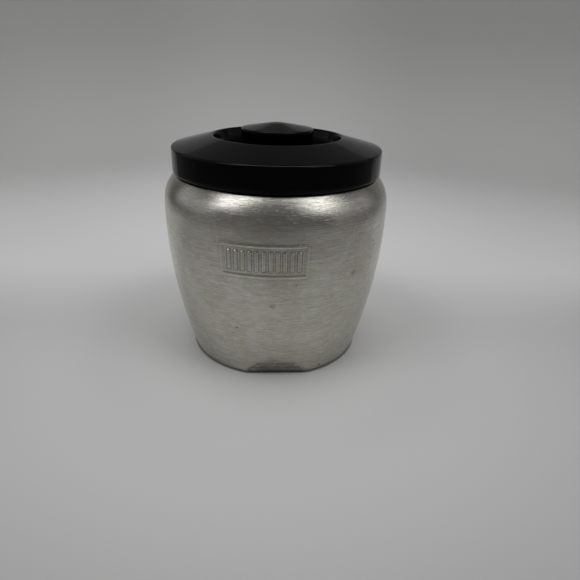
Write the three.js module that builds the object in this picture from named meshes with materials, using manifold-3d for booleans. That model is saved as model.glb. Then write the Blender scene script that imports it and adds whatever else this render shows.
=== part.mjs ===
// Bacon grease container: a spun aluminium jar, a perforated drip strainer that hangs in its mouth,
// and a black lid whose round knob stands in a finger well.
// Millimetres, +Z up. The origin is on the jar's axis, on the surface that the foot stands on, and
// the raised panel faces -Y.

import * as THREE from 'three';
import { mergeVertices } from 'three/addons/utils/BufferGeometryUtils.js';
import Module from 'manifold-3d';

const wasm = await Module();
wasm.setup();

// Jar: one spun sheet of aluminium
const bodyDiameter = 120.6;
const bodyHeight = 100.3;
const widestHeight = 78;
const footDiameter = 96;
const ledgeDiameter = 111.8;
const jarWall = 0.9;
const footCorner = 1.6;
const bottomRise = 1.6;
const standingRingWidth = 7;
const riseSlopeWidth = 2.4;
const riseCorner = 1.8;
const ledgeCorner = 1.3;
const neckDiameter = 100.4;
const neckHeight = 8.9;
const neckCorner = 1;
const rimCurlDiameter = 3.3;

// Barrel: how its radius falls off, as powers of the share of the way from its widest place down to
// the foot and up to the ledge
const lowerFallPower = 1.92;
const upperFallPower = 2.95;

// Panel pressed outwards from the front of the barrel, with a raised border round a flat field
const panelWidth = 42.4;
const panelHeight = 17.6;
const panelBelowWidest = 7.2;
const panelCorner = 1.6;
const panelRelief = 0.5;
const panelBorder = 1.7;
const fieldRelief = 0.1;

// Dent: the front of the foot is pressed in to a flat that leans outwards to the barrel
const dentDepth = 3;
const dentHeight = 8.1;
const dentTurn = THREE.MathUtils.degToRad(7);

// Strainer: a pressed dish with a flange that rests on the jar's rolled rim
const strainerWall = 0.8;
const flangeInset = 0.3;
const dishFit = 0.4;
const dishDepth = 19;
const dishTaper = 4.5;
const dishCorner = 4;
const flangeCorner = 1.2;
const holeDiameter = 2.6;
const holePitch = 8;
const firstRingHoles = 6;

// Lid: a moulded shell
const lidWall = 2.2;
const lidFit = 0.3;
const skirtGap = 0.5;
const skirtEdgeRound = 0.7;
const landWidth = 3.2;
const shoulderThickness = 2.4;
const shoulderRound = 1.1;
const crestRise = 5.9;
const crestRound = 1.2;
const innerRound = 0.4;
const wellDiameter = 66.6;
const wellDepth = 5.8;
const wellFloorDiameter = 64.4;
const wellFloorRound = 2;

// Knob: a moulded cap with a boss for the screw
const knobDiameter = 37.6;
const knobEdgeHeight = 8.7;
const knobPeak = 2.9;
const knobEdgeRound = 0.8;
const knobWall = 2.4;
const knobTipRadius = 4;
const knobTipDrop = 0.4;
const knobTipBlend = 14;
const bossDiameter = 10;

// Screw and washer under the well's floor
const screwDiameter = 4;
const screwHeadDiameter = 7.4;
const screwHeadHeight = 2.4;
const screwHeadRound = 1.2;
const screwGrip = 5;
const screwTipRoom = 0.8;
const screwTipChamfer = 0.6;
const screwSlotWidth = 1;
const screwSlotDepth = 1.1;
const screwHoleFit = 0.3;
const washerDiameter = 11;
const washerThickness = 0.9;

// Pieces that rest on each other, and how far a cutting body runs past what it cuts
const seatGap = 0.3;
const overrun = 5;

// Facets of the round pieces
const roundSides = 48;
const smallSides = 20;
const holeSides = 8;
const panelCornerSteps = 2;
const lowerBarrelSteps = 9;
const upperBarrelSteps = 5;
const curlSteps = 6;
const arcFlatness = 0.08;

// Radii and heights that several pieces share
const bodyRadius = bodyDiameter / 2;
const footRadius = footDiameter / 2;
const ledgeRadius = ledgeDiameter / 2;
const neckRadius = neckDiameter / 2;
const neckBoreRadius = neckRadius - jarWall;
const curlRadius = rimCurlDiameter / 2;
const panelMiddleHeight = widestHeight - panelBelowWidest;
const rimRadius = neckBoreRadius + rimCurlDiameter;
const rimHeight = bodyHeight + neckHeight;
const flangeHeight = rimHeight + seatGap;
const landHeight = flangeHeight + strainerWall + seatGap;
const skirtBore = rimRadius + lidFit;
const skirtRadius = skirtBore + lidWall;
const skirtBottom = bodyHeight + skirtGap;
const shoulderHeight = landHeight + shoulderThickness;
const crestHeight = shoulderHeight + crestRise;
const wellFloorHeight = crestHeight - wellDepth;
const lidHoleRadius = screwDiameter / 2 + screwHoleFit;
const knobBottom = wellFloorHeight + seatGap;
const washerTop = wellFloorHeight - lidWall - seatGap;
const screwHeadTop = washerTop - washerThickness - seatGap;
const screwTip = knobBottom + screwGrip;

// A corner of a profile: its radius from the axis, its height and how much it is rounded
const corner = (radius, height, round = 0) => ({ at: new THREE.Vector2(radius, height), round });

// Profile through the corners, with an arc in place of each rounded one, in facets that depart from
// it by no more than its flatness
function rounded(corners) {
  const points = [];
  corners.forEach(({ at, round }, index) => {
    const before = corners[index - 1];
    const after = corners[index + 1];
    if (round === 0 || !before || !after) {
      points.push(at.clone());
      return;
    }
    const back = before.at.clone().sub(at).normalize();
    const on = after.at.clone().sub(at).normalize();
    const halfAngle = Math.acos(THREE.MathUtils.clamp(back.dot(on), -1, 1)) / 2;
    const centre = at.clone().addScaledVector(back.clone().add(on).normalize(), round / Math.sin(halfAngle));
    const tangentLength = round / Math.tan(halfAngle);
    const start = at.clone().addScaledVector(back, tangentLength).sub(centre);
    const end = at.clone().addScaledVector(on, tangentLength).sub(centre);
    const sweep = Math.atan2(start.cross(end), start.dot(end));
    const widestStep = 2 * Math.acos(Math.max(1 - arcFlatness / round, 0));
    const steps = Math.max(Math.round(Math.abs(sweep) / widestStep), 1);
    for (let step = 0; step <= steps; step += 1) {
      points.push(start.clone().rotateAround(new THREE.Vector2(), (sweep * step) / steps).add(centre));
    }
  });
  return points;
}

// The same line moved to its left by a distance, with each corner mitred
function shifted(line, distance) {
  return line.map((point, index) => {
    const before = line[Math.max(index - 1, 0)];
    const after = line[Math.min(index + 1, line.length - 1)];
    const into = (index > 0 ? point.clone().sub(before) : after.clone().sub(point)).normalize();
    const out = (index < line.length - 1 ? after.clone().sub(point) : point.clone().sub(before)).normalize();
    const along = into.clone().add(out).normalize();
    const side = new THREE.Vector2(-along.y, along.x);
    return point.clone().addScaledVector(side, distance / along.dot(out));
  });
}

// Closed profile of a sheet whose one face follows the line and whose other face lies to its left
const sheet = (line, thickness) => [...line, ...shifted(line, thickness).reverse()];

// Solid from any closed geometry: shared vertices merged, flat triangles dropped, faces turned out
function solid(geometry) {
  const bare = geometry.index ? geometry.toNonIndexed() : geometry.clone();
  bare.deleteAttribute('normal');
  bare.deleteAttribute('uv');
  const merged = mergeVertices(bare);
  const place = merged.getAttribute('position');
  const triangles = [];
  let volume = 0;
  for (let first = 0; first < merged.index.count; first += 3) {
    const [a, b, c] = [0, 1, 2].map((offset) => merged.index.getX(first + offset));
    if (a === b || b === c || c === a) continue;
    triangles.push([a, b, c]);
    const [p, q, r] = [a, b, c].map((vertex) => new THREE.Vector3().fromBufferAttribute(place, vertex));
    volume += p.dot(q.cross(r));
  }
  const outward = volume > 0 ? triangles : triangles.map(([a, b, c]) => [a, c, b]);
  return new wasm.Manifold(new wasm.Mesh({
    numProp: 3,
    vertProperties: Float32Array.from(place.array),
    triVerts: Uint32Array.from(outward.flat()),
  }));
}

// Solid of revolution about +Z; a profile off the axis closes on itself
function turned(profile, sides = roundSides) {
  const onAxis = profile[0].x === 0 && profile[profile.length - 1].x === 0;
  const points = onAxis ? profile : [...profile, profile[0].clone()];
  return solid(new THREE.LatheGeometry(points, sides).rotateX(Math.PI / 2));
}

// Round bar along +Z between two heights
function bar(diameter, bottom, top, sides = smallSides) {
  const geometry = new THREE.CylinderGeometry(diameter / 2, diameter / 2, top - bottom, sides);
  return solid(geometry.rotateX(Math.PI / 2).translate(0, 0, (bottom + top) / 2));
}

// Named mesh of a solid
function piece(name, body, look) {
  const { vertProperties, triVerts } = body.getMesh();
  const geometry = new THREE.BufferGeometry();
  geometry.setAttribute('position', new THREE.BufferAttribute(Float32Array.from(vertProperties), 3));
  geometry.setIndex(new THREE.BufferAttribute(Uint32Array.from(triVerts), 1));
  geometry.computeVertexNormals();
  const mesh = new THREE.Mesh(geometry, new THREE.MeshStandardMaterial(look));
  mesh.name = name;
  return mesh;
}

// Outer radius of the barrel at a height
function barrelRadius(height) {
  if (height < widestHeight) {
    const share = (widestHeight - height) / widestHeight;
    return bodyRadius - (bodyRadius - footRadius) * share ** lowerFallPower;
  }
  const share = (height - widestHeight) / (bodyHeight - widestHeight);
  return bodyRadius - (bodyRadius - ledgeRadius) * share ** upperFallPower;
}

// Barrel wall of the jar between the foot and the ledge, its steps closer where it turns more
const barrelLine = [];
for (let step = 1; step <= lowerBarrelSteps; step += 1) {
  const height = (widestHeight * step) / lowerBarrelSteps;
  barrelLine.push(new THREE.Vector2(barrelRadius(height), height));
}
for (let step = 1; step < upperBarrelSteps; step += 1) {
  const height = widestHeight + (bodyHeight - widestHeight) * Math.sqrt(step / upperBarrelSteps);
  barrelLine.push(new THREE.Vector2(barrelRadius(height), height));
}

// Outer face of the jar's sheet: bottom, foot, barrel, ledge and neck, then the rim rolled outwards
function jarLine() {
  const ringInnerRadius = footRadius - standingRingWidth;
  const line = rounded([
    corner(0, bottomRise),
    corner(ringInnerRadius - riseSlopeWidth, bottomRise, riseCorner),
    corner(ringInnerRadius, 0, riseCorner),
    corner(footRadius, 0, footCorner),
    ...barrelLine.map((point) => corner(point.x, point.y)),
    corner(ledgeRadius, bodyHeight, ledgeCorner),
    corner(neckRadius, bodyHeight, neckCorner),
    corner(neckRadius, rimHeight - curlRadius),
  ]);
  const curlCentre = new THREE.Vector2(neckBoreRadius + curlRadius, rimHeight - curlRadius);
  const start = line[line.length - 1];
  const threeQuarterTurn = -1.5 * Math.PI;
  for (let step = 1; step <= curlSteps; step += 1) {
    line.push(start.clone().rotateAround(curlCentre, (threeQuarterTurn * step) / curlSteps));
  }
  return line;
}

// Ring that follows the barrel, between two distances out from its outer face
function barrelBand(inner, outer) {
  const inside = barrelLine.map((point) => new THREE.Vector2(point.x + inner, point.y));
  const outside = barrelLine.map((point) => new THREE.Vector2(point.x + outer, point.y));
  return turned([...outside, ...inside.reverse()]);
}

// Prism along Y through the front wall, with the panel's outline drawn in by an inset
function panelPrism(inset) {
  const halfWidth = panelWidth / 2 - inset;
  const halfHeight = panelHeight / 2 - inset;
  const round = Math.max(panelCorner - inset, panelCorner / 2);
  const outline = new THREE.Shape();
  outline.absarc(halfWidth - round, halfHeight - round, round, 0, Math.PI / 2);
  outline.absarc(round - halfWidth, halfHeight - round, round, Math.PI / 2, Math.PI);
  outline.absarc(round - halfWidth, round - halfHeight, round, Math.PI, 1.5 * Math.PI);
  outline.absarc(halfWidth - round, round - halfHeight, round, 1.5 * Math.PI, 2 * Math.PI);
  const options = { depth: bodyRadius, bevelEnabled: false, curveSegments: panelCornerSteps };
  const geometry = new THREE.ExtrudeGeometry(outline, options);
  return solid(geometry.rotateX(Math.PI / 2).translate(0, -overrun, panelMiddleHeight));
}

// Slab beyond the dent's flat, moved inwards by a depth; it leans out to meet the barrel
function dentSlab(depth, thickness) {
  const lean = Math.atan2(barrelRadius(dentHeight) - footRadius + dentDepth, dentHeight);
  const slab = new THREE.BoxGeometry(bodyDiameter, thickness, bodyDiameter);
  slab.translate(0, -thickness / 2 + depth, 0);
  slab.rotateX(lean);
  slab.translate(0, dentDepth - footRadius, 0);
  return solid(slab.rotateZ(dentTurn));
}

function jarBody() {
  const line = jarLine();
  const lastOnBarrel = line.findIndex((point) => point.y > dentHeight * 2);
  const filled = turned([...line.slice(0, lastOnBarrel), new THREE.Vector2(0, line[lastOnBarrel - 1].y)]);
  return turned(sheet(line, jarWall))
    .add(barrelBand(-jarWall / 2, panelRelief).intersect(panelPrism(0)))
    .subtract(barrelBand(-jarWall - overrun, fieldRelief - jarWall).intersect(panelPrism(jarWall)))
    .subtract(barrelBand(fieldRelief, panelRelief + overrun).intersect(panelPrism(panelBorder)))
    .add(filled.intersect(dentSlab(jarWall, jarWall)))
    .subtract(dentSlab(0, bodyRadius));
}

// Places of the strainer's holes: one in the middle, then rings with six more holes each
function holePlaces(floorRadius) {
  const places = [new THREE.Vector2(0, 0)];
  const rings = Math.floor((floorRadius - holeDiameter) / holePitch);
  for (let ring = 1; ring <= rings; ring += 1) {
    const count = firstRingHoles * ring;
    for (let hole = 0; hole < count; hole += 1) {
      const angle = (2 * Math.PI * hole) / count;
      places.push(new THREE.Vector2(ring * holePitch, 0).rotateAround(new THREE.Vector2(), angle));
    }
  }
  return places;
}

function dripStrainer() {
  const dishRadius = neckBoreRadius - dishFit;
  const floorRadius = dishRadius - dishTaper;
  const floorHeight = flangeHeight - dishDepth;
  const underside = rounded([
    corner(0, floorHeight),
    corner(floorRadius, floorHeight, dishCorner),
    corner(dishRadius, flangeHeight, flangeCorner),
    corner(rimRadius - flangeInset, flangeHeight),
  ]);
  const drill = bar(holeDiameter, floorHeight - overrun, floorHeight + overrun, holeSides);
  return holePlaces(floorRadius - dishCorner).reduce(
    (dish, place) => dish.subtract(drill.translate(place.x, place.y, 0)),
    turned(sheet(underside, strainerWall)),
  );
}

// Lid's shell: the underside runs at one wall's thickness below the well, the crest and the cone
function lidShell() {
  const wellRadius = wellDiameter / 2;
  const landInnerRadius = skirtBore - landWidth;
  const face = [
    new THREE.Vector2(lidHoleRadius, wellFloorHeight),
    new THREE.Vector2(wellFloorDiameter / 2, wellFloorHeight),
    new THREE.Vector2(wellRadius, crestHeight),
    new THREE.Vector2(skirtRadius, shoulderHeight),
  ];
  const [hole, floor, crest, shoulder] = face;
  const [holeBelow, floorBelow, crestBelow, shoulderBelow] = shifted(face, -lidWall);
  const landShare = (landInnerRadius - crestBelow.x) / (shoulderBelow.x - crestBelow.x);
  return turned(rounded([
    corner(hole.x, hole.y),
    corner(floor.x, floor.y, wellFloorRound),
    corner(crest.x, crest.y, crestRound),
    corner(shoulder.x, shoulder.y, shoulderRound),
    corner(skirtRadius, skirtBottom, skirtEdgeRound),
    corner(skirtBore, skirtBottom, skirtEdgeRound),
    corner(skirtBore, landHeight),
    corner(landInnerRadius, landHeight),
    corner(landInnerRadius, THREE.MathUtils.lerp(crestBelow.y, shoulderBelow.y, landShare)),
    corner(crestBelow.x, crestBelow.y, innerRound),
    corner(floorBelow.x, floorBelow.y, wellFloorRound + lidWall),
    corner(holeBelow.x, holeBelow.y),
  ]));
}

function lidKnob() {
  const radius = knobDiameter / 2;
  const edgeHeight = knobBottom + knobEdgeHeight;
  const peakHeight = edgeHeight + knobPeak;
  const coreTop = edgeHeight - knobWall;
  const boreTop = screwTip + screwTipRoom;
  return turned(rounded([
    corner(0, boreTop),
    corner(lidHoleRadius, boreTop),
    corner(lidHoleRadius, knobBottom),
    corner(bossDiameter / 2, knobBottom),
    corner(bossDiameter / 2, coreTop),
    corner(radius - knobWall, coreTop, knobEdgeRound),
    corner(radius - knobWall, knobBottom),
    corner(radius, knobBottom),
    corner(radius, edgeHeight, knobEdgeRound),
    corner(knobTipRadius, peakHeight - knobTipDrop, knobTipBlend),
    corner(0, peakHeight),
  ]));
}

function knobScrew() {
  const radius = screwDiameter / 2;
  const headRadius = screwHeadDiameter / 2;
  const headBottom = screwHeadTop - screwHeadHeight;
  const slot = new THREE.BoxGeometry(screwHeadDiameter + overrun, screwSlotWidth, screwSlotDepth * 2);
  return turned(rounded([
    corner(0, headBottom),
    corner(headRadius, headBottom, screwHeadRound),
    corner(headRadius, screwHeadTop),
    corner(radius, screwHeadTop),
    corner(radius, screwTip - screwTipChamfer),
    corner(radius - screwTipChamfer, screwTip),
    corner(0, screwTip),
  ]), smallSides).subtract(solid(slot.translate(0, 0, headBottom)));
}

function screwWasher() {
  const bottom = washerTop - washerThickness;
  return bar(washerDiameter, bottom, washerTop)
    .subtract(bar(lidHoleRadius * 2, bottom - overrun, washerTop + overrun));
}

const satinAluminium = { color: 0xa9a69e, roughness: 0.38, metalness: 1 };
const dullAluminium = { color: 0xb4b3ae, roughness: 0.5, metalness: 1 };
const blackPlastic = { color: 0x0c0c0e, roughness: 0.14, metalness: 0 };
const platedSteel = { color: 0x9c9a94, roughness: 0.42, metalness: 1 };

const container = new THREE.Group();
container.add(piece('jar_body', jarBody(), satinAluminium));
container.add(piece('drip_strainer', dripStrainer(), dullAluminium));
container.add(piece('lid_shell', lidShell(), blackPlastic));
container.add(piece('lid_knob', lidKnob(), blackPlastic));
container.add(piece('knob_screw', knobScrew(), platedSteel));
container.add(piece('screw_washer', screwWasher(), platedSteel));

export default container;
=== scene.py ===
"""Looks of a grease container: a spun aluminium jar with a raised front panel, the drip strainer
that hangs in its mouth, and a glossy black lid with a round knob in a finger well.

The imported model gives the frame. Sizes here are in millimetres until a mesh is made, and every
piece stands where the node that it replaces stands.
"""

import math

import bpy
from mathutils import Matrix, Vector


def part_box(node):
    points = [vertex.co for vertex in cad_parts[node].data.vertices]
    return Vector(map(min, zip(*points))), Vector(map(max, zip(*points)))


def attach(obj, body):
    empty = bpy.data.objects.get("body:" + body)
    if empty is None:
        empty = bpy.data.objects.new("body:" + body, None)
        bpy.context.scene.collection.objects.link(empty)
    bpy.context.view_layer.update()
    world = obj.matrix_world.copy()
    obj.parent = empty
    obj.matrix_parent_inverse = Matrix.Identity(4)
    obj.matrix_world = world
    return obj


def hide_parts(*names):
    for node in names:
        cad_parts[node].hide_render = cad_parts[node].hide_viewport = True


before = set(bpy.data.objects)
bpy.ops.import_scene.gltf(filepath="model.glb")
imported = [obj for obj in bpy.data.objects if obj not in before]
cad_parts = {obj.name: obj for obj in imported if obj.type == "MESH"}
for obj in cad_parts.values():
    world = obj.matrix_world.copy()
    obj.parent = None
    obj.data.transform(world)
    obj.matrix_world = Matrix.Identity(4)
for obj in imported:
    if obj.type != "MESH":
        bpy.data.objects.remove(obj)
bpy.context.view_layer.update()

# Metres in a millimetre
MM = 0.001


def box_mm(node):
    """Lowest and highest corner of a CAD node in millimetres."""
    low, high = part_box(node)
    return low / MM, high / MM


JAR_HIGH = box_mm("jar_body")[1]
STRAINER_LOW, STRAINER_HIGH = box_mm("drip_strainer")
LID_LOW, LID_HIGH = box_mm("lid_shell")
KNOB_LOW, KNOB_HIGH = box_mm("lid_knob")
SCREW_LOW, SCREW_HIGH = box_mm("knob_screw")
WASHER_LOW, WASHER_HIGH = box_mm("screw_washer")

# Camera, fitted to the photograph
IMAGE_SIDE = 580
SENSOR_WIDTH = 36.0
FOCAL_PIXELS = 492.7
CAMERA_DISTANCE = 268.6
CAMERA_HEIGHT = 157.4
CAMERA_TURN = math.radians(5.2)
CAMERA_YAW = math.radians(1.93)
CAMERA_PITCH = math.radians(25.68)
CAMERA_ROLL = math.radians(1.69)
NEAREST_SEEN = 10.0

# Jar
BODY_RADIUS = JAR_HIGH.x
BODY_HEIGHT = 99.9
WIDEST_HEIGHT = 78.0
SHOULDER_START = 80.5
FOOT_RADIUS = 48.0
LEDGE_RADIUS = 54.0
JAR_WALL = 0.9
FOOT_CORNER = 1.6
BOTTOM_RISE = 1.6
STANDING_RING_WIDTH = 7.0
RISE_SLOPE_WIDTH = 2.4
RISE_CORNER = 1.8
LEDGE_CORNER = 1.0
NECK_RADIUS = 50.2
NECK_CORNER = 1.0
RIM_CURL_DIAMETER = 3.3
LOWER_FALL_POWER = 1.92
UPPER_FALL_POWER = 3.2
RIM_HEIGHT = JAR_HIGH.z

# Panel and the reeds on its field
PANEL_WIDTH = 42.4
PANEL_HEIGHT = 17.6
PANEL_MIDDLE_HEIGHT = 70.8
PANEL_CORNER = 1.6
PANEL_RELIEF = 0.34
PANEL_BORDER = 1.7
FIELD_RELIEF = 0.1
EDGE_SLOPE = 0.7
REED_COUNT = 11
REED_PITCH = 3.3
REED_HALF_WIDTH = 0.95
REED_HALF_HEIGHT = 5.1
REED_ROUND = 0.5
REED_SLOPE = 0.5
REED_RELIEF = 0.38

# Dent in the foot
DENT_DEPTH = 3.0
DENT_LEAN = 0.53
DENT_TURN = math.radians(7)
DENT_BLEND = 0.25
SHELF_HEIGHT = 8.5
SHELF_LEAN = 1.6
DENT_REACH_HEIGHT = 20.0
DENT_REACH_COSINE = 0.5
# Reaches of the painted crease shade below and above the shelf's start, its share on the +X side, and the
# height and half width of the painted dark fold line
SIDE_CREASE = 0.3
SHELF_CREASE = 1.1
FAR_SIDE_SHARE = 0.35
FOLD_HEIGHT = 4.9
FOLD_HALF_WIDTH = 1.0

# Dirt and painted shade on the jar: how much, and over what reach it fades
DENT_DIRT_AND_SHADE = 0.42
DENT_DARKENING_FADE = 0.3
FOLD_PAINTED_SHADE = 0.8
CREASE_PAINTED_SHADE = 0.9
ROUND_DENT_PAINTED_SHADE = 0.5
ROUND_DENT_REACH = 1.2
FOOT_PAINTED_SHADE = 1.3
FOOT_SHADE_START = 0.1
FOOT_SHADE_FADE = 0.55
PANEL_DIRT_AND_SHADE = 0.2
REED_DIRT_AND_SHADE = 0.65
PANEL_DARKENING_OUTSET = 0.1
REED_DARKENING_OUTSET = 0.15
EDGE_DARKENING_FADE = 0.4
PANEL_DARKENING_MARGIN = 1.0

# Single marks on the jar: place, reach and strength
JAR_MARKS = [
    ((-14.0, -54.1, 32.0), 0.65, 0.95),
    ((4.2, -58.1, 47.2), 2.0, 0.3),
    ((42.7, -41.5, 60.1), 2.2, 0.3),
    ((28.5, -39.8, 3.2), 0.9, 1.0),
]

# Strainer
STRAINER_WALL = 0.8
STRAINER_FLANGE_RADIUS = STRAINER_HIGH.x
DISH_RADIUS = 48.9
DISH_TAPER = 4.5
DISH_CORNER = 4.0
FLANGE_CORNER = 1.2
HOLE_DIAMETER = 2.6
HOLE_PITCH = 8.0
FIRST_RING_HOLES = 6
FLANGE_HEIGHT = STRAINER_HIGH.z - STRAINER_WALL
DISH_FLOOR = STRAINER_LOW.z

# Lid
LID_WALL = 2.2
SKIRT_RADIUS = LID_HIGH.x
SKIRT_BORE = SKIRT_RADIUS - LID_WALL
SKIRT_BOTTOM = LID_LOW.z
SKIRT_EDGE_ROUND = 0.7
LAND_WIDTH = 3.2
LAND_HEIGHT = 110.6
SHOULDER_HEIGHT = 113.3
SHOULDER_ROUND = 0.9
CREST_HEIGHT = 118.9
CREST_ROUND = 1.2
INNER_ROUND = 0.4
WELL_RADIUS = 33.6
WELL_FLOOR_HEIGHT = 113.1
WELL_FLOOR_RADIUS = 32.2
WELL_FLOOR_ROUND = 2.0
LID_HOLE_RADIUS = 2.3

# Knob
KNOB_RADIUS = KNOB_HIGH.x
KNOB_BOTTOM = KNOB_LOW.z
KNOB_PEAK_HEIGHT = KNOB_HIGH.z
KNOB_PEAK = 2.9
KNOB_EDGE_ROUND = 0.5
KNOB_WALL = 2.4
KNOB_TIP_RADIUS = 4.0
KNOB_TIP_DROP = 0.4
KNOB_TIP_BLEND = 14.0
BOSS_RADIUS = 5.0
SCREW_TIP_ROOM = 0.8

# Screw and washer
SCREW_RADIUS = 2.0
SCREW_HEAD_RADIUS = SCREW_HIGH.x
SCREW_HEAD_HEIGHT = 2.4
SCREW_HEAD_ROUND = 1.2
SCREW_TIP_CHAMFER = 0.6
THREAD_DEPTH = 0.3
THREAD_PITCH = 0.8
THREAD_RISE_SHARE = 0.4
THREAD_CREST_SHARE = 0.55
THREAD_FALL_SHARE = 0.95
PLAIN_SHANK_SHARE = 0.6
SLOT_WIDTH = 1.0
SLOT_DEPTH = 1.1
WASHER_RADIUS = WASHER_HIGH.x
WASHER_EDGE = 0.15

# Facets
ARC_STEP = math.radians(9)
LONGEST_STEP = 1.6
LID_SIDES = 224
SMALL_SIDES = 64
STRAINER_SIDES = 160
HOLE_SIDES = 20
JAR_FINE_TURN = math.radians(30)
JAR_FINE_SIDES = 280
JAR_COARSE_SIDES = 150
RIM_CURL_STEPS = 18
SMOOTH_ANGLE = math.radians(40)
CRISP_ANGLE = math.radians(30)
TINY = 1e-6

# Heights between the barrel's rows, and where the closer rows lie
PLAIN_ROW_STEP = 1.3
PANEL_ROW_STEP = 0.2
DENT_ROW_STEP = 0.35
SHOULDER_ROW_STEP = 0.5
PANEL_ROWS_MARGIN = 0.8
DENT_ROWS_TOP = 11.05
SHOULDER_ROWS_DEPTH = 12.0
LAST_ROW_ROOM = 0.2

# Materials
OLIVE_SHARES = (0.86, 0.9, 0.78)
DARK_STREAK_SHARES = (0.72, 0.72, 0.72)
LIGHT_STREAK_SHARES = (1.3, 1.3, 1.3)
DULL_STEEL_SHARES = (0.55, 0.55, 0.55)
BLACK_COLOUR = (0.0006, 0.0006, 0.0009, 1)
# Colour of dirt, of the single marks and pits, and of painted shade on the jar
DIRT_AND_SHADE_COLOUR = (0.055, 0.046, 0.038, 1.0)
DUST_COLOUR = (0.35, 0.34, 0.33, 1.0)
SPUN_ANISOTROPY = 0.6
SPUN_ANISOTROPY_TURN = 0.25
PLASTIC_SPECULAR = 0.13

# Stage
FLOOR_RADIUS = 560.0
FLOOR_RING_STEP = 70.0
SWEEP_RADIUS = 300.0
SWEEP_STEPS = 16
BACKDROP_TOP = 480.0
BACKDROP_THICKNESS = 2.0
BACKDROP_SIDES = 128
BACKDROP_SMOOTH_ANGLE = math.radians(60)
FRONT_REACH = 420.0
WALL_HALF_TURN = math.radians(44)
WALL_FADE_TURN = math.radians(16)

# Greys of the paper, which paint light and shade onto it, and the distances over which one fades into the
# next
CLOSE_PAINTED_LIGHT_GREY = 0.71
NEAR_GREY = 0.585
FRONT_PAINTED_SHADE_GREY = 0.25
SIDE_PAINTED_SHADE_GREY = 0.44
BACK_PAINTED_LIGHT_GREY = 0.74
WALL_GREY = 0.7
WALL_PAINTED_SHADE_FALL = 0.72
MIDDLE_PAINTED_LIGHT_LIFT = 1.1
OFF_MIDDLE_SHARE = 0.99
LEFT_PAINTED_LIGHT_LIFT = 1.02
RIGHT_PAINTED_SHADE_FALL = 0.95
CLOSE_FADE = (50.0, 110.0)
SIDE_FADE = (40.0, 200.0)
FRONT_FADE = (120.0, 290.0)
BACK_FADE = (60.0, 150.0)
SWEEP_FADE = (330.0, FLOOR_RADIUS)
WALL_FADE = (-20.0, 240.0)
MIDDLE_FADE = (60.0, 280.0)
ACROSS_FADE = (-300.0, 300.0)
BEHIND_FADE = (-10.0, 110.0)
CONTACT_REACH = 1.4
CONTACT_SAMPLES = 8
CONTACT_FADE = (0.5, 1.0)
CONTACT_SHADE = 0.4
PAPER_TINT = (1.0, 0.997, 0.965)
PAPER_ROUGHNESS = 0.8
PAPER_SPECULAR = 0.3

# Lamps: name, turn about the axis from the panel's side, elevation, roll, width, height, brightness
LAMPS = [
    ("lamp_left", -51, 49, 0, 320, 540, 2.15),
    ("lamp_right", 60, 46, -12, 350, 560, 2.1),
    ("fill_left", -84, 20, 0, 800, 440, 0.3),
    ("fill_right", 88, 20, 0, 800, 440, 0.26),
    ("fill_front", 0, 50, 0, 300, 420, 0.08),
    ("lamp_top", 180, 86, 0, 660, 420, 2.9),
]
LAMP_DISTANCE = 800.0
LAMP_AIM_HEIGHT = 60.0
LAMP_COLOUR = (0.985, 0.99, 1.03)
WORLD_COLOUR = (0.12, 0.12, 0.12, 1)

# How far the cutting forms run past what they cut
DRILL_OVERRUN = 2.0
SLOT_OVERRUN = 1.0


# Profiles

def corner(radius, height, round_=0.0):
    """A corner of a profile: radius from the axis, height, and how much it is rounded."""
    return Vector((radius, height)), round_


def rounded(corners):
    """Line through the corners, with an arc in place of each rounded one."""
    points = []
    for index, (at, round_) in enumerate(corners):
        if not round_ or index in (0, len(corners) - 1):
            points.append(at.copy())
            continue
        back = (corners[index - 1][0] - at).normalized()
        on = (corners[index + 1][0] - at).normalized()
        half_angle = math.acos(max(-1.0, min(1.0, back.dot(on)))) / 2
        centre = at + (back + on).normalized() * (round_ / math.sin(half_angle))
        reach = round_ / math.tan(half_angle)
        start = at + back * reach - centre
        end = at + on * reach - centre
        sweep = math.atan2(start.x * end.y - start.y * end.x, start.dot(end))
        steps = max(round(abs(sweep) / ARC_STEP), 2)
        for step in range(steps + 1):
            angle = sweep * step / steps
            turn = Matrix.Rotation(angle, 2)
            points.append(turn @ start + centre)
    return points


def even(points, longest=LONGEST_STEP):
    """The same line with its long straight runs split up."""
    line = [points[0]]
    for point in points[1:]:
        run = point - line[-1]
        if run.length < TINY:
            continue
        parts = max(math.ceil(run.length / longest), 1)
        start = line[-1]
        line.extend(start + run * (part / parts) for part in range(1, parts + 1))
    return line


def normals(points):
    """Unit normals to the left of an open line."""
    result = []
    for index in range(len(points)):
        before = points[max(index - 1, 0)]
        after = points[min(index + 1, len(points) - 1)]
        along = (after - before).normalized()
        result.append(Vector((-along.y, along.x)))
    return result


# Meshes

def make_object(name, vertices, faces, sharp=SMOOTH_ANGLE):
    """Smooth-shaded mesh object from points in millimetres."""
    mesh = bpy.data.meshes.new(name)
    mesh.from_pydata([Vector(vertex) * MM for vertex in vertices], [], faces)
    mesh.validate()
    mesh.update()
    mesh.shade_smooth()
    mesh.set_sharp_from_angle(angle=sharp)
    obj = bpy.data.objects.new(name, mesh)
    bpy.context.scene.collection.objects.link(obj)
    return obj


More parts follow.
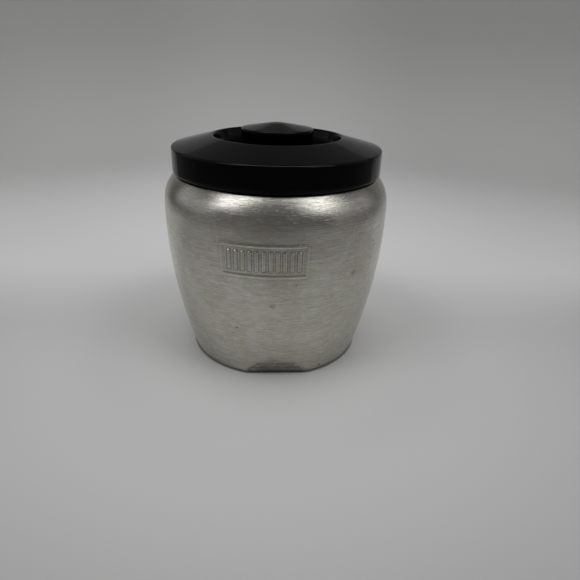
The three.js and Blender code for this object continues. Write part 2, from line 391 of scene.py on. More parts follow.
def revolve(profile, angles, place=None):
    """Vertices and faces of a closed surface of revolution.

    The profile is a closed loop, or runs from axis to axis. place(angle, index, point) may move a
    point of the surface off the plain form.
    """
    on_axis = profile[0].x < TINY and profile[-1].x < TINY
    vertices = []
    rings = []
    for index, point in enumerate(profile):
        if point.x < TINY:
            rings.append([len(vertices)] * len(angles))
            vertices.append((0.0, 0.0, point.y))
            continue
        ring = []
        for angle in angles:
            ring.append(len(vertices))
            if place:
                vertices.append(place(angle, index, point))
            else:
                vertices.append((point.x * math.cos(angle), point.x * math.sin(angle), point.y))
        rings.append(ring)
    pairs = list(zip(rings, rings[1:]))
    if not on_axis:
        pairs.append((rings[-1], rings[0]))
    faces = []
    count = len(angles)
    for below, above in pairs:
        for step in range(count):
            after = (step + 1) % count
            face = [below[step], below[after], above[after], above[step]]
            unique = list(dict.fromkeys(face))
            if len(unique) > 2:
                faces.append(unique)
    return vertices, faces


def even_angles(sides):
    """Angles of evenly spaced lines round the axis."""
    return [2 * math.pi * side / sides for side in range(sides)]


def cut_away(piece, tool):
    """Cut the tool's form out of a piece, and remove the tool."""
    cut = piece.modifiers.new("cut", "BOOLEAN")
    cut.object = tool
    cut.solver = "EXACT"
    shapes = bpy.context.evaluated_depsgraph_get()
    cut_mesh = bpy.data.meshes.new_from_object(piece.evaluated_get(shapes))
    piece.modifiers.clear()
    piece.data = cut_mesh
    cut_mesh.shade_smooth()
    cut_mesh.set_sharp_from_angle(angle=CRISP_ANGLE)
    bpy.data.objects.remove(tool)


# Jar

def barrel_radius(height):
    """Outer radius of the barrel at a height."""
    if height < WIDEST_HEIGHT:
        share = (WIDEST_HEIGHT - height) / WIDEST_HEIGHT
        return BODY_RADIUS - (BODY_RADIUS - FOOT_RADIUS) * share ** LOWER_FALL_POWER
    share = max(height - SHOULDER_START, 0.0) / (BODY_HEIGHT - SHOULDER_START)
    return BODY_RADIUS - (BODY_RADIUS - LEDGE_RADIUS) * share ** UPPER_FALL_POWER


def smooth_step(value):
    """0 below 0, 1 above 1, smooth between."""
    clipped = max(0.0, min(1.0, value))
    return clipped * clipped * (3 - 2 * clipped)


def rounded_box_depth(across, up, half_width, half_height, round_):
    """How deep a point lies inside a rectangle with rounded corners; negative outside."""
    out_x = abs(across) - half_width + round_
    out_y = abs(up) - half_height + round_
    outside = math.hypot(max(out_x, 0.0), max(out_y, 0.0))
    return round_ - outside - min(max(out_x, out_y), 0.0)


def panel_depth(across, up):
    """How deep a point lies inside the panel; negative outside."""
    return rounded_box_depth(across, up, PANEL_WIDTH / 2, PANEL_HEIGHT / 2, PANEL_CORNER)


def reed_depth(across, up):
    """How deep a point lies inside the nearest reed; negative outside."""
    outermost = REED_COUNT // 2
    reed = min(max(round(across / REED_PITCH), -outermost), outermost)
    beside = across - reed * REED_PITCH
    return rounded_box_depth(beside, up, REED_HALF_WIDTH, REED_HALF_HEIGHT, REED_ROUND)


def panel_relief(across, height):
    """How far the sheet stands out of the barrel at a place on the front."""
    up = height - PANEL_MIDDLE_HEIGHT
    depth = panel_depth(across, up)
    if depth <= 0:
        return 0.0
    relief = PANEL_RELIEF * smooth_step(depth / (2 * EDGE_SLOPE))
    inward = smooth_step((depth - PANEL_BORDER + EDGE_SLOPE) / (2 * EDGE_SLOPE))
    relief -= (PANEL_RELIEF - FIELD_RELIEF) * inward
    if inward == 1.0:
        relief += REED_RELIEF * smooth_step(reed_depth(across, up) / REED_SLOPE)
    return relief


def dent_gap(radius, height, angle, inset=0.0, with_shelf=True):
    """How far a place on the jar stands in front of the dent; negative beside and above it.

    The dent is a flat that leans out as it rises, and a steep shelf at its top.
    """
    beside = math.cos(angle + math.pi / 2 - DENT_TURN)
    if beside < DENT_REACH_COSINE or height > DENT_REACH_HEIGHT:
        return -FOOT_RADIUS
    flat = FOOT_RADIUS - DENT_DEPTH + DENT_LEAN * height
    if with_shelf:
        flat += (SHELF_LEAN - DENT_LEAN) * max(height - SHELF_HEIGHT, 0.0)
    return radius - (flat - inset) / beside


def dented(radius, height, angle, inset):
    """Radius of the jar where the flat dent may cut it short, with a softened edge."""
    gap = dent_gap(radius, height, angle, inset)
    if gap < -DENT_BLEND:
        return radius
    if gap > DENT_BLEND:
        return radius - gap
    return radius - (gap + DENT_BLEND) ** 2 / (4 * DENT_BLEND)


def barrel_rows():
    """Points of the barrel from the foot's corner to the ledge, closer where there is detail."""
    rows = []
    height = FOOT_CORNER * 2
    while height < BODY_HEIGHT - LAST_ROW_ROOM:
        rows.append(corner(barrel_radius(height), height))
        if abs(height - PANEL_MIDDLE_HEIGHT) < PANEL_HEIGHT / 2 + PANEL_ROWS_MARGIN:
            height += PANEL_ROW_STEP
        elif height < DENT_ROWS_TOP:
            height += DENT_ROW_STEP
        elif height > BODY_HEIGHT - SHOULDER_ROWS_DEPTH:
            height += SHOULDER_ROW_STEP
        else:
            height += PLAIN_ROW_STEP
    return rows


def jar_outer_line():
    """Outer face of the jar's sheet, from the middle of the bottom to the end of the rolled rim."""
    ring_inner = FOOT_RADIUS - STANDING_RING_WIDTH
    curl_radius = RIM_CURL_DIAMETER / 2
    line = rounded([
        corner(0, BOTTOM_RISE),
        corner(ring_inner - RISE_SLOPE_WIDTH, BOTTOM_RISE, RISE_CORNER),
        corner(ring_inner, 0, RISE_CORNER),
        corner(FOOT_RADIUS, 0, FOOT_CORNER),
        *barrel_rows(),
    ])
    tail = rounded([
        corner(line[-1].x, line[-1].y),
        corner(LEDGE_RADIUS, BODY_HEIGHT, LEDGE_CORNER),
        corner(NECK_RADIUS, BODY_HEIGHT, NECK_CORNER),
        corner(NECK_RADIUS, RIM_HEIGHT - curl_radius),
    ])
    line = even(line + tail[1:])
    centre = Vector((NECK_RADIUS - JAR_WALL + curl_radius, RIM_HEIGHT - curl_radius))
    start = line[-1] - centre
    for step in range(1, RIM_CURL_STEPS + 1):
        turn = Matrix.Rotation(-1.5 * math.pi * step / RIM_CURL_STEPS, 2)
        line.append(turn @ start + centre)
    return line


def dent_dirt_and_shade(x, y, z):
    """Dirt and painted shade in the dent, a painted dark fold line across it, and painted shade along its
    creases and round it.
    """
    radius, angle = barrel_radius(max(z, FOOT_CORNER)), math.atan2(y, x)
    gap = dent_gap(radius, z, angle)
    # Dirt and painted shade over the dent's face
    inside = smooth_step(gap / DENT_DARKENING_FADE)
    # Painted shade of a fold: a dark line across the dent at one height, where the shape has no fold
    fold = 1 - smooth_step(abs(z - FOLD_HEIGHT) / FOLD_HALF_WIDTH)
    # Painted shade along the dent's edges, fainter on the +X side below the shelf
    crease_reach = SHELF_CREASE if z > SHELF_HEIGHT else SIDE_CREASE
    crease = 1 - smooth_step(abs(gap) / crease_reach)
    if x > 0 and z < SHELF_HEIGHT:
        crease *= FAR_SIDE_SHARE
    # Painted shade on the barrel where it bends in towards the dent
    beside = dent_gap(radius, z, angle, with_shelf=False) + ROUND_DENT_REACH
    around = smooth_step(beside / (2 * ROUND_DENT_REACH))
    return max(DENT_DIRT_AND_SHADE * inside, FOLD_PAINTED_SHADE * inside * fold, CREASE_PAINTED_SHADE * crease,
               ROUND_DENT_PAINTED_SHADE * around)


def panel_dirt_and_shade(x, z):
    """Dirt and painted shade along the panel's edges and round its reeds."""
    up = z - PANEL_MIDDLE_HEIGHT
    beyond = max(abs(x) - PANEL_WIDTH / 2, abs(up) - PANEL_HEIGHT / 2)
    if beyond >= PANEL_DARKENING_MARGIN:
        return 0.0
    # Dark outlines round the reeds and along the panel's edges: dirt and painted shade
    beside_reed = abs(reed_depth(x, up) + REED_DARKENING_OUTSET)
    amount = REED_DIRT_AND_SHADE * (1 - smooth_step(beside_reed / EDGE_DARKENING_FADE))
    for edge in (-PANEL_DARKENING_OUTSET, PANEL_BORDER + EDGE_SLOPE):
        beside_edge = abs(panel_depth(x, up) - edge)
        amount = max(amount, PANEL_DIRT_AND_SHADE * (1 - smooth_step(beside_edge / EDGE_DARKENING_FADE)))
    return amount


def jar_dirt_and_shade(x, y, z):
    """How much dirt and painted shade darken a place on the jar."""
    amount = 0.0
    if z < DENT_REACH_HEIGHT:
        # Painted contact shadow: a dark line along the foot's edge, where it stands on the floor.
        above_foot = (z - FOOT_SHADE_START) / FOOT_SHADE_FADE
        amount = max(dent_dirt_and_shade(x, y, z), FOOT_PAINTED_SHADE * (1 - smooth_step(above_foot)))
    if y > 0 or math.hypot(x, y) < FOOT_RADIUS:
        return amount
    return max(amount, panel_dirt_and_shade(x, z))


def make_jar():
    """Jar as one closed sheet: its outer face, then its inner face at one wall's thickness."""
    outer = jar_outer_line()
    left = normals(outer)
    inner = [point + side * JAR_WALL for point, side in zip(outer, left)]
    inner[0].x = 0.0
    profile = outer + inner[::-1]
    front = -math.pi / 2
    fine = 2 * JAR_FINE_TURN
    coarse = 2 * math.pi - fine
    angles = [
        front - JAR_FINE_TURN + fine * side / JAR_FINE_SIDES for side in range(JAR_FINE_SIDES)
    ]
    angles += [
        front + JAR_FINE_TURN + coarse * side / JAR_COARSE_SIDES for side in range(JAR_COARSE_SIDES)
    ]
    count = len(outer)

    def place(angle, index, point):
        outside = index < count
        twin = outer[index] if outside else outer[2 * count - 1 - index]
        radius = dented(point.x, point.y, angle, 0.0 if outside else JAR_WALL)
        across = twin.x * math.cos(angle)
        on_front = math.sin(angle) < 0 and abs(across) < PANEL_WIDTH / 2
        if on_front and abs(twin.y - PANEL_MIDDLE_HEIGHT) < PANEL_HEIGHT / 2:
            radius += panel_relief(across, twin.y)
        return (radius * math.cos(angle), radius * math.sin(angle), point.y)

    vertices, faces = revolve(profile, angles, place)
    jar = make_object("jar", vertices, faces)
    # Point attribute of dirt and painted shade: painted contact shadow along the foot, painted shade in
    # and round the dent, dirt and painted shade round the panel and its reeds
    dirt_and_shade = jar.data.attributes.new("dirt_and_shade", "FLOAT", "POINT")
    dirt_and_shade.data.foreach_set("value", [jar_dirt_and_shade(*vertex) for vertex in vertices])
    return jar


# Strainer

def hole_places(floor_radius):
    """Places of the holes: one in the middle, then rings with six more holes each."""
    places = [Vector((0, 0))]
    for ring in range(1, int((floor_radius - HOLE_DIAMETER) // HOLE_PITCH) + 1):
        count = FIRST_RING_HOLES * ring
        for hole in range(count):
            angle = 2 * math.pi * hole / count
            places.append(Vector((math.cos(angle), math.sin(angle))) * (ring * HOLE_PITCH))
    return places


def make_strainer():
    """Pressed dish with a flange, its floor pierced by the holes."""
    floor_radius = DISH_RADIUS - DISH_TAPER
    under = even(rounded([
        corner(0, DISH_FLOOR),
        corner(floor_radius, DISH_FLOOR, DISH_CORNER),
        corner(DISH_RADIUS, FLANGE_HEIGHT, FLANGE_CORNER),
        corner(STRAINER_FLANGE_RADIUS, FLANGE_HEIGHT),
    ]))
    upper = [point + side * STRAINER_WALL for point, side in zip(under, normals(under))]
    upper[0].x = 0.0
    vertices, faces = revolve(under + upper[::-1], even_angles(STRAINER_SIDES))
    dish = make_object("strainer", vertices, faces)
    drill_vertices, drill_faces = [], []
    low = DISH_FLOOR - DRILL_OVERRUN
    high = DISH_FLOOR + STRAINER_WALL + DRILL_OVERRUN
    half = HOLE_DIAMETER / 2
    drill = [Vector((0, low)), Vector((half, low)), Vector((half, high)), Vector((0, high))]
    ring_vertices, ring_faces = revolve(drill, even_angles(HOLE_SIDES))
    for place in hole_places(floor_radius - DISH_CORNER):
        shift = len(drill_vertices)
        drill_vertices += [(x + place.x, y + place.y, z) for x, y, z in ring_vertices]
        drill_faces += [[shift + vertex for vertex in face] for face in ring_faces]
    cut_away(dish, make_object("strainer_drills", drill_vertices, drill_faces))
    return dish


# Lid, knob, screw and washer

def shifted(line, distance):
    """The same line moved to its left by a distance, with each corner mitred."""
    result = []
    for index, point in enumerate(line):
        into = (point - line[index - 1]) if index else (line[1] - point)
        out = (line[index + 1] - point) if index < len(line) - 1 else into
        into, out = into.normalized(), out.normalized()
        along = (into + out).normalized()
        side = Vector((-along.y, along.x))
        result.append(point + side * (distance / along.dot(out)))
    return result


def make_lid():
    """Moulded shell: well, crest, cone, shoulder, skirt, and the land that rests on the flange."""
    face = [
        Vector((LID_HOLE_RADIUS, WELL_FLOOR_HEIGHT)),
        Vector((WELL_FLOOR_RADIUS, WELL_FLOOR_HEIGHT)),
        Vector((WELL_RADIUS, CREST_HEIGHT)),
        Vector((SKIRT_RADIUS, SHOULDER_HEIGHT)),
    ]
    below = shifted(face, -LID_WALL)
    land_inner = SKIRT_BORE - LAND_WIDTH
    share = (land_inner - below[2].x) / (below[3].x - below[2].x)
    land_top = below[2].y + (below[3].y - below[2].y) * share
    profile = even(rounded([
        corner(*face[0]),
        corner(*face[1], WELL_FLOOR_ROUND),
        corner(*face[2], CREST_ROUND),
        corner(*face[3], SHOULDER_ROUND),
        corner(SKIRT_RADIUS, SKIRT_BOTTOM, SKIRT_EDGE_ROUND),
        corner(SKIRT_BORE, SKIRT_BOTTOM, SKIRT_EDGE_ROUND),
        corner(SKIRT_BORE, LAND_HEIGHT),
        corner(land_inner, LAND_HEIGHT),
        corner(land_inner, land_top),
        corner(*below[2], INNER_ROUND),
        corner(*below[1], WELL_FLOOR_ROUND + LID_WALL),
        corner(*below[0]),
    ]))
    vertices, faces = revolve(profile, even_angles(LID_SIDES))
    return make_object("lid", vertices, faces)


def make_knob():
    """Moulded cap with a low pointed top, hollow round the boss that takes the screw."""
    edge_height = KNOB_PEAK_HEIGHT - KNOB_PEAK
    core_top = edge_height - KNOB_WALL
    bore_top = SCREW_HIGH.z + SCREW_TIP_ROOM
    profile = even(rounded([
        corner(0, bore_top),
        corner(LID_HOLE_RADIUS, bore_top),
        corner(LID_HOLE_RADIUS, KNOB_BOTTOM),
        corner(BOSS_RADIUS, KNOB_BOTTOM),
        corner(BOSS_RADIUS, core_top),
        corner(KNOB_RADIUS - KNOB_WALL, core_top, KNOB_EDGE_ROUND),
        corner(KNOB_RADIUS - KNOB_WALL, KNOB_BOTTOM),
        corner(KNOB_RADIUS, KNOB_BOTTOM),
        corner(KNOB_RADIUS, edge_height, KNOB_EDGE_ROUND),
        corner(KNOB_TIP_RADIUS, KNOB_PEAK_HEIGHT - KNOB_TIP_DROP, KNOB_TIP_BLEND),
        corner(0, KNOB_PEAK_HEIGHT),
    ]))
    vertices, faces = revolve(profile, even_angles(LID_SIDES // 2))
    return make_object("knob", vertices, faces)


def make_screw():
    """Slotted screw with a rounded head and a threaded shank."""
    head_bottom = SCREW_LOW.z
    head_top = head_bottom + SCREW_HEAD_HEIGHT
    tip = SCREW_HIGH.z
    core = SCREW_RADIUS - THREAD_DEPTH
    thread = []
    height = head_top + THREAD_PITCH
    while height < tip - SCREW_TIP_CHAMFER - THREAD_PITCH:
        thread += [
            corner(core, height),
            corner(SCREW_RADIUS, height + THREAD_PITCH * THREAD_RISE_SHARE),
            corner(SCREW_RADIUS, height + THREAD_PITCH * THREAD_CREST_SHARE),
            corner(core, height + THREAD_PITCH * THREAD_FALL_SHARE),
        ]
        height += THREAD_PITCH
    profile = rounded([
        corner(0, head_bottom),
        corner(SCREW_HEAD_RADIUS, head_bottom, SCREW_HEAD_ROUND),
        corner(SCREW_HEAD_RADIUS, head_top),
        corner(SCREW_RADIUS, head_top),
        corner(SCREW_RADIUS, head_top + THREAD_PITCH * PLAIN_SHANK_SHARE),
        *thread,
        corner(core, tip - SCREW_TIP_CHAMFER),
        corner(core - SCREW_TIP_CHAMFER, tip),
        corner(0, tip),
    ])
    vertices, faces = revolve(profile, even_angles(SMALL_SIDES))
    screw = make_object("screw", vertices, faces)
    half_length = SCREW_HEAD_RADIUS + SLOT_OVERRUN
    half_width = SLOT_WIDTH / 2
    bottom, top = head_bottom - SLOT_OVERRUN, head_bottom + SLOT_DEPTH
    slot_vertices = [
        (x, y, z) for z in (bottom, top) for y in (-half_width, half_width)
        for x in (-half_length, half_length)
    ]
    slot_faces = [(0, 2, 3, 1), (4, 5, 7, 6), (0, 1, 5, 4), (2, 6, 7, 3), (0, 4, 6, 2), (1, 3, 7, 5)]
    cut_away(screw, make_object("screw_cutter", slot_vertices, slot_faces))
    return screw


def make_washer():
    """Plain stamped washer with broken edges."""
    edge = WASHER_EDGE
    low, high = WASHER_LOW.z, WASHER_HIGH.z
    profile = rounded([
        corner(LID_HOLE_RADIUS, low + edge),
        corner(LID_HOLE_RADIUS + edge, low),
        corner(WASHER_RADIUS - edge, low),
        corner(WASHER_RADIUS, low + edge),
        corner(WASHER_RADIUS, high - edge),
        corner(WASHER_RADIUS - edge, high),
        corner(LID_HOLE_RADIUS + edge, high),
        corner(LID_HOLE_RADIUS, high - edge),
    ])
    vertices, faces = revolve(profile, even_angles(SMALL_SIDES))
    return make_object("washer", vertices, faces, sharp=CRISP_ANGLE)


# Materials

class Graph:
    """Nodes of one material, with short calls for the kinds used here."""

    def __init__(self, name):
        self.material = bpy.data.materials.new(name)
        self.material.use_nodes = True
        self.tree = self.material.node_tree
        self.tree.nodes.clear()
        self.shader = self.tree.nodes.new("ShaderNodeBsdfPrincipled")
        output = self.tree.nodes.new("ShaderNodeOutputMaterial")
        self.tree.links.new(self.shader.outputs["BSDF"], output.inputs["Surface"])

    def feed(self, socket, value):
        """Link or set a socket. None leaves it alone."""
        if isinstance(value, bpy.types.NodeSocket):
            self.tree.links.new(value, socket)
        elif value is not None:
            socket.default_value = value

    def surface(self, **values):
        """Feed the shader. An underscore in a name stands for a space."""
        for name, value in values.items():
            self.feed(self.shader.inputs[name.replace("_", " ")], value)

    def node(self, kind, inputs=None, **settings):
        """Node with its settings, and its inputs by name or number."""
        node = self.tree.nodes.new(kind)
        for name, value in settings.items():
            setattr(node, name, value)
        for name, value in (inputs or {}).items():
            self.feed(node.inputs[name], value)
        return node

    def math(self, operation, first, second=None, clamp=False):
        node = self.node("ShaderNodeMath", {0: first, 1: second}, operation=operation, use_clamp=clamp)
        return node.outputs[0]

    def times(self, first, second):
        return self.math("MULTIPLY", first, second)

    def plus(self, first, second, clamp=False):
        return self.math("ADD", first, second, clamp)

    def minus(self, first, second):
        return self.math("SUBTRACT", first, second)

    def ramp(self, value, low, high, from_value=0.0, to_value=1.0):
        """Smooth change from one value to another as the input goes from low to high."""
        node = self.node("ShaderNodeMapRange", {
            "Value": value, "From Min": low, "From Max": high,
            "To Min": from_value, "To Max": to_value,
        }, interpolation_type="SMOOTHSTEP")
        return node.outputs["Result"]

    def blend(self, share, first, second):
        """Number between two others, by a share from 0 to 1."""
        node = self.node("ShaderNodeMapRange", {"Value": share, "To Min": first, "To Max": second})
        return node.outputs["Result"]

    def mix(self, share, first, second):
        """Colour between two others, by a share from 0 to 1."""
        node = self.node("ShaderNodeMix", {0: share, 6: first, 7: second}, data_type="RGBA")
        return node.outputs[2]

    def noise(self, place, scale, detail=4.0, roughness=0.55, distortion=0.0):
        node = self.node("ShaderNodeTexNoise", {
            "Vector": place, "Scale": scale, "Detail": detail, "Roughness": roughness,
            "Distortion": distortion,
        })
        return node.outputs["Fac"]

    def turned_noise(self, place, around, along, detail, roughness):
        """Noise drawn out round the axis, as a turning tool leaves it."""
        return self.noise(self.turned_place(place, around, along), 1.0, detail, roughness)

    def cells(self, place, scale):
        """Distance to the nearest of many scattered points."""
        node = self.node("ShaderNodeTexVoronoi", {"Vector": place, "Scale": scale})
        return node.outputs["Distance"]

    def bump(self, height, strength, reach, normal=None):
        """Bump of a reach in millimetres."""
        node = self.node("ShaderNodeBump", {
            "Height": height, "Strength": strength, "Distance": reach * MM, "Normal": normal,
        })
        return node.outputs["Normal"]

    def place(self):
        """Place on the object in millimetres."""
        coordinates = self.node("ShaderNodeTexCoord")
        scaled = self.node("ShaderNodeVectorMath", {
            0: coordinates.outputs["Object"], "Scale": 1 / MM,
        }, operation="SCALE")
        return scaled.outputs["Vector"]

    def split(self, vector):
        return self.node("ShaderNodeSeparateXYZ", {"Vector": vector}).outputs

    def join(self, x, y, z):
        return self.node("ShaderNodeCombineXYZ", {"X": x, "Y": y, "Z": z}).outputs["Vector"]

    def axis_distance(self, x, y):
        return self.math("SQRT", self.plus(self.times(x, x), self.times(y, y)))

    def turned_place(self, place, around, along):
        """Place for marks left by turning: stretched round the axis, fine across the marks."""
        x, y, z = self.split(place)
        flat = self.axis_distance(x, y)
        reach = self.math("DIVIDE", around * NECK_RADIUS, self.math("MAXIMUM", flat, 1.0))
        across = self.times(self.minus(flat, z), along)
        return self.join(self.times(x, reach), self.times(y, reach), across)


def tinted(colour, shares):
    """A colour with its channels scaled, none past 1."""
    return [min(channel * share, 1.0) for channel, share in zip(colour, shares)] + [1.0]


def aluminium(name, base, stain, roughness, wear, marks=()):
    """Spun aluminium: turning marks, dull patches, stains, pits, short scratches, single dark marks, and
    the dirt and painted shade that a mesh carries in a point attribute.
    """
    graph = Graph(name)
    place = graph.place()
    fine_marks = graph.turned_noise(place, around=0.05, along=3.2, detail=5.0, roughness=0.7)
    broad_marks = graph.turned_noise(place, around=0.012, along=0.5, detail=4.0, roughness=0.6)
    dashes = graph.turned_noise(place, around=0.25, along=2.4, detail=2.0, roughness=0.5)
    streaks = graph.turned_noise(place, around=0.1, along=2.6, detail=3.0, roughness=0.6)
    mottle = graph.turned_noise(place, around=0.45, along=1.3, detail=5.0, roughness=0.75)
    patches = graph.noise(place, scale=0.05, detail=5.0, roughness=0.6, distortion=0.5)
    warm = graph.noise(place, scale=0.085, detail=3.0, roughness=0.5, distortion=0.3)
    pitted = graph.ramp(graph.noise(place, scale=0.09, detail=2.0), 0.5, 0.6)
    pits = graph.times(graph.ramp(graph.cells(place, scale=0.22), 0.03, 0.09, 1.0, 0.0), pitted)
    scratches = graph.ramp(dashes, 0.6, 0.7)
    # Dirt and painted shade from the mesh's point attribute; it also roughens the surface
    dirt_and_shade = graph.node("ShaderNodeAttribute", attribute_name="dirt_and_shade").outputs["Fac"]

    darker = tinted(base, DARK_STREAK_SHARES)
    lighter = tinted(base, LIGHT_STREAK_SHARES)
    colour = graph.mix(graph.ramp(patches, 0.4, 0.66, 0.0, wear), base, stain)
    colour = graph.mix(graph.ramp(warm, 0.42, 0.66, 0.0, wear), colour, tinted(base, OLIVE_SHARES))
    colour = graph.mix(graph.ramp(broad_marks, 0.45, 0.75, 0.0, 0.45), colour, darker)
    colour = graph.mix(graph.ramp(mottle, 0.48, 0.64, 0.0, 0.4 * wear), colour, darker)
    colour = graph.mix(graph.ramp(mottle, 0.5, 0.36, 0.0, 0.4 * wear), colour, lighter)
    colour = graph.mix(graph.ramp(streaks, 0.5, 0.68, 0.0, 0.6 * wear), colour, darker)
    colour = graph.mix(graph.ramp(streaks, 0.5, 0.32, 0.0, 0.5 * wear), colour, lighter)
    colour = graph.mix(graph.times(scratches, 0.5), colour, darker)
    colour = graph.mix(graph.ramp(dashes, 0.42, 0.32, 0.0, 0.5), colour, lighter)
    for at, reach, strength in marks:
        apart = graph.node("ShaderNodeVectorMath", {0: place, 1: at}, operation="DISTANCE")
        mark = graph.ramp(apart.outputs["Value"], 0.4 * reach, reach, strength, 0.0)
        colour = graph.mix(mark, colour, DIRT_AND_SHADE_COLOUR)
    colour = graph.mix(graph.times(pits, 0.8), colour, DIRT_AND_SHADE_COLOUR)
    # The attribute's dirt and painted shade darken the colour, a little unevenly
    uneven_dirt_and_shade = graph.times(dirt_and_shade, graph.ramp(mottle, 0.3, 0.6, 0.55, 1.0))
    colour = graph.mix(uneven_dirt_and_shade, colour, DIRT_AND_SHADE_COLOUR)

    rough = graph.ramp(patches, 0.3, 0.7, roughness - 0.04, roughness + 0.06)
    rough = graph.plus(rough, graph.ramp(fine_marks, 0.3, 0.7, -0.05, 0.05))
    rough = graph.plus(rough, graph.times(dirt_and_shade, 0.2), clamp=True)

    normal = graph.bump(fine_marks, strength=0.6, reach=0.12)
    normal = graph.bump(mottle, strength=0.2, reach=0.1, normal=normal)
    normal = graph.bump(graph.minus(1.0, scratches), strength=0.3, reach=0.08, normal=normal)
    normal = graph.bump(graph.minus(1.0, pits), strength=0.5, reach=0.2, normal=normal)

    tangent = graph.node("ShaderNodeTangent", direction_type="RADIAL", axis="Z")
    graph.surface(
        Base_Color=colour, Roughness=rough, Normal=normal, Metallic=1.0,
        Anisotropic=SPUN_ANISOTROPY, Anisotropic_Rotation=SPUN_ANISOTROPY_TURN,
        Tangent=tangent.outputs["Tangent"],
    )
    return graph.material


def plastic(name, base, roughness):
    """Black moulded plastic: glossy, with rubbed patches, hairline scratches and dust."""
    graph = Graph(name)
    place = graph.place()
    marks = graph.turned_noise(place, around=0.05, along=2.5, detail=4.0, roughness=0.6)
    rubbed = graph.noise(place, scale=0.06, detail=4.0, roughness=0.6, distortion=0.4)
    grain = graph.noise(place, scale=1.4, detail=3.0, roughness=0.6)
    dusty = graph.ramp(graph.noise(place, scale=0.11, detail=2.0), 0.54, 0.64)
    dust = graph.times(graph.ramp(graph.cells(place, scale=0.5), 0.0, 0.05, 1.0, 0.0), dusty)
    colour = graph.mix(graph.times(dust, 0.5), base, DUST_COLOUR)
    rough = graph.ramp(rubbed, 0.35, 0.7, roughness, roughness + 0.07)
    rough = graph.plus(rough, graph.ramp(marks, 0.4, 0.75, 0.0, 0.06))
    rough = graph.plus(rough, graph.times(dust, 0.3))
    normal = graph.bump(marks, strength=0.05, reach=0.1)
    normal = graph.bump(grain, strength=0.04, reach=0.1, normal=normal)
    graph.surface(
        Base_Color=colour, Roughness=rough, Normal=normal, Specular_IOR_Level=PLASTIC_SPECULAR,
    )
    return graph.material


def steel(name, base, roughness):
    """Plated steel, dulled and lightly scratched."""
    graph = Graph(name)
    place = graph.place()
    scuffs = graph.noise(place, scale=1.8, detail=5.0, roughness=0.65)
    dull = graph.noise(place, scale=0.5, detail=4.0, roughness=0.6)
    colour = graph.mix(graph.ramp(dull, 0.45, 0.7, 0.0, 0.8), base, tinted(base, DULL_STEEL_SHARES))
    rough = graph.ramp(scuffs, 0.3, 0.7, roughness - 0.08, roughness + 0.12)
    normal = graph.bump(scuffs, strength=0.12, reach=0.1)
    graph.surface(Base_Color=colour, Roughness=rough, Normal=normal, Metallic=1.0)
    return graph.material


def paper(name):
    """Matt paper with painted light and shade: a painted pool of light, palest behind the object and
    lighter round its foot, painted shade in front, up the wall and to the right, and painted contact
    shadow where something stands close over it.
    """
    graph = Graph(name)
    x, y, z = graph.split(graph.place())
    cosine, sine = math.cos(CAMERA_TURN), math.sin(CAMERA_TURN)
    radius = graph.axis_distance(x, y)
    behind = graph.minus(graph.times(y, cosine), graph.times(x, sine))
    beside = graph.plus(graph.times(x, cosine), graph.times(y, sine))
    off_middle = graph.math("ABSOLUTE", beside)
    # Painted light on the paper close round the object, and painted shade on the floor far in front,
    # darkest straight ahead
    near_grey = graph.ramp(radius, *CLOSE_FADE, CLOSE_PAINTED_LIGHT_GREY, NEAR_GREY)
    far_grey = graph.ramp(off_middle, *SIDE_FADE, FRONT_PAINTED_SHADE_GREY, SIDE_PAINTED_SHADE_GREY)
    front_grey = graph.ramp(radius, *FRONT_FADE, near_grey, far_grey)
    # Painted pool of light behind the object, lightest behind the middle, fading into painted shade up
    # the wall
    back_grey = graph.ramp(radius, *BACK_FADE, near_grey, BACK_PAINTED_LIGHT_GREY)
    for fade in (
        graph.ramp(radius, *SWEEP_FADE, 1.0, WALL_GREY / BACK_PAINTED_LIGHT_GREY),
        graph.ramp(z, *WALL_FADE, 1.0, WALL_PAINTED_SHADE_FALL),
        graph.ramp(off_middle, *MIDDLE_FADE, MIDDLE_PAINTED_LIGHT_LIFT, OFF_MIDDLE_SHARE),
    ):
        back_grey = graph.times(back_grey, fade)
    grey = graph.blend(graph.ramp(behind, *BEHIND_FADE), front_grey, back_grey)
    # Painted contact shadow: the paper darkens where the object stands close over it
    hidden = graph.node(
        "ShaderNodeAmbientOcclusion", {"Distance": CONTACT_REACH * MM}, samples=CONTACT_SAMPLES,
    )
    grey = graph.times(grey, graph.ramp(hidden.outputs["AO"], *CONTACT_FADE, CONTACT_SHADE, 1.0))
    # Painted light towards the left, painted shade towards the right
    grey = graph.times(grey, graph.ramp(beside, *ACROSS_FADE, LEFT_PAINTED_LIGHT_LIFT, RIGHT_PAINTED_SHADE_FALL))
    colour = graph.node("ShaderNodeVectorMath", {0: PAPER_TINT, "Scale": grey}, operation="SCALE")
    graph.surface(
        Base_Color=colour.outputs["Vector"], Roughness=PAPER_ROUGHNESS, Specular_IOR_Level=PAPER_SPECULAR,
    )
    return graph.material


# Camera

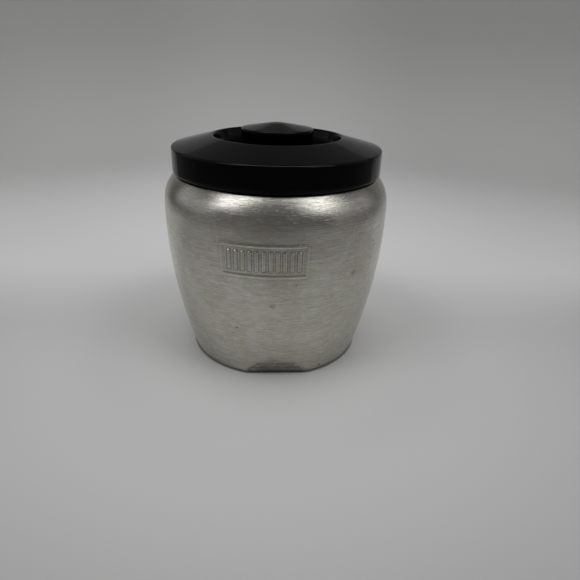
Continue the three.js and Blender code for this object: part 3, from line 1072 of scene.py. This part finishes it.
def place_camera():
    """Camera at the photograph's viewing angle."""
    right_level = Vector((math.cos(CAMERA_YAW), -math.sin(CAMERA_YAW), 0))
    forward = Vector((
        math.sin(CAMERA_YAW) * math.cos(CAMERA_PITCH),
        math.cos(CAMERA_YAW) * math.cos(CAMERA_PITCH),
        -math.sin(CAMERA_PITCH),
    ))
    up_level = right_level.cross(forward)
    right = right_level * math.cos(CAMERA_ROLL) + up_level * math.sin(CAMERA_ROLL)
    up = up_level * math.cos(CAMERA_ROLL) - right_level * math.sin(CAMERA_ROLL)
    turn = Matrix.Rotation(CAMERA_TURN, 4, "Z")
    pose = Matrix((right, up, -forward)).transposed().to_4x4()
    pose.translation = Vector((0, -CAMERA_DISTANCE, CAMERA_HEIGHT)) * MM
    data = bpy.data.cameras.new("camera")
    data.sensor_width = SENSOR_WIDTH
    data.lens = FOCAL_PIXELS / IMAGE_SIDE * SENSOR_WIDTH
    data.clip_start = NEAREST_SEEN * MM
    camera = bpy.data.objects.new("camera", data)
    bpy.context.scene.collection.objects.link(camera)
    camera.matrix_world = turn @ pose
    bpy.context.scene.camera = camera


place_camera()

# Pieces

SPUN = aluminium(
    "spun_aluminium", base=(0.565, 0.545, 0.5, 1), stain=(0.46, 0.415, 0.36, 1),
    roughness=0.22, wear=0.7, marks=JAR_MARKS,
)
PRESSED = aluminium(
    "strainer_aluminium", base=(0.62, 0.6, 0.56, 1), stain=(0.5, 0.46, 0.4, 1),
    roughness=0.4, wear=0.5,
)
BLACK = plastic("black_plastic", base=BLACK_COLOUR, roughness=0.05)
KNOB_BLACK = plastic("knob_plastic", base=BLACK_COLOUR, roughness=0.07)
PLATED = steel("plated_steel", base=(0.52, 0.51, 0.49, 1), roughness=0.36)

# How each piece is made, its material, its body, the node that it replaces and its material slot
PIECES = [
    (make_jar, SPUN, "jar", "jar_body", "spun_aluminium"),
    (make_strainer, PRESSED, "strainer", "drip_strainer", "strainer_aluminium"),
    (make_lid, BLACK, "lid", "lid_shell", "black_plastic"),
    (make_knob, KNOB_BLACK, "lid", "lid_knob", "knob_plastic"),
    (make_screw, PLATED, "lid", "knob_screw", "plated_steel"),
    (make_washer, PLATED, "lid", "screw_washer", "plated_steel"),
]
for make, material, body, node, slot in PIECES:
    piece = make()
    piece.data.materials.clear()
    piece.data.materials.append(material)
    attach(piece, body)
    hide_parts(node)


# Stage and light

def make_backdrop():
    """Round floor that sweeps up into a low wall behind the object."""
    line = even([Vector((0, 0)), Vector((FLOOR_RADIUS, 0))], FLOOR_RING_STEP)
    for step in range(1, SWEEP_STEPS + 1):
        angle = math.pi / 2 * step / SWEEP_STEPS
        line.append(Vector((
            FLOOR_RADIUS + SWEEP_RADIUS * math.sin(angle),
            SWEEP_RADIUS * (1 - math.cos(angle)),
        )))
    wall = FLOOR_RADIUS + SWEEP_RADIUS
    outside = wall + BACKDROP_THICKNESS
    line += [
        Vector((wall, BACKDROP_TOP)),
        Vector((outside, BACKDROP_TOP)),
        Vector((outside, -BACKDROP_THICKNESS)),
        Vector((0, -BACKDROP_THICKNESS)),
    ]

    def place(angle, index, point):
        beside = abs(math.remainder(angle - math.pi / 2, 2 * math.pi))
        rise = 1 - smooth_step((beside - WALL_HALF_TURN) / WALL_FADE_TURN)
        height = point.y * rise if point.y > 0 else point.y
        near = min(point.x, FRONT_REACH)
        reach = near + (point.x - near) * rise
        return (reach * math.cos(angle), reach * math.sin(angle), height)

    vertices, faces = revolve(line, even_angles(BACKDROP_SIDES), place)
    backdrop = make_object("backdrop", vertices, faces, sharp=BACKDROP_SMOOTH_ANGLE)
    backdrop.data.materials.append(paper("backdrop_paper"))


def add_lamp(name, azimuth, elevation, roll, width, height, brightness):
    """Soft lamp that faces the object."""
    data = bpy.data.lights.new(name, "AREA")
    data.shape = "RECTANGLE"
    data.size, data.size_y = width * MM, height * MM
    data.energy = brightness * math.pi * data.size * data.size_y
    data.color = LAMP_COLOUR
    lamp = bpy.data.objects.new(name, data)
    lamp.visible_camera = False
    bpy.context.scene.collection.objects.link(lamp)
    turn, rise = math.radians(azimuth), math.radians(elevation)
    aim = Vector((0, 0, LAMP_AIM_HEIGHT))
    away = Vector((
        math.cos(rise) * math.sin(turn),
        -math.cos(rise) * math.cos(turn),
        math.sin(rise),
    )) * LAMP_DISTANCE
    lamp.location = (aim + away) * MM
    facing = (-away).to_track_quat("-Z", "Y").to_matrix()
    lamp.rotation_euler = (facing @ Matrix.Rotation(math.radians(roll), 3, "Z")).to_euler()


def set_world(colour):
    """Even dim light from all round."""
    world = bpy.data.worlds.new("studio")
    world.use_nodes = True
    world.node_tree.nodes["Background"].inputs["Color"].default_value = colour
    bpy.context.scene.world = world


make_backdrop()
for lamp_settings in LAMPS:
    add_lamp(*lamp_settings)
set_world(WORLD_COLOUR)
bpy.context.scene.view_settings.view_transform = "Standard"
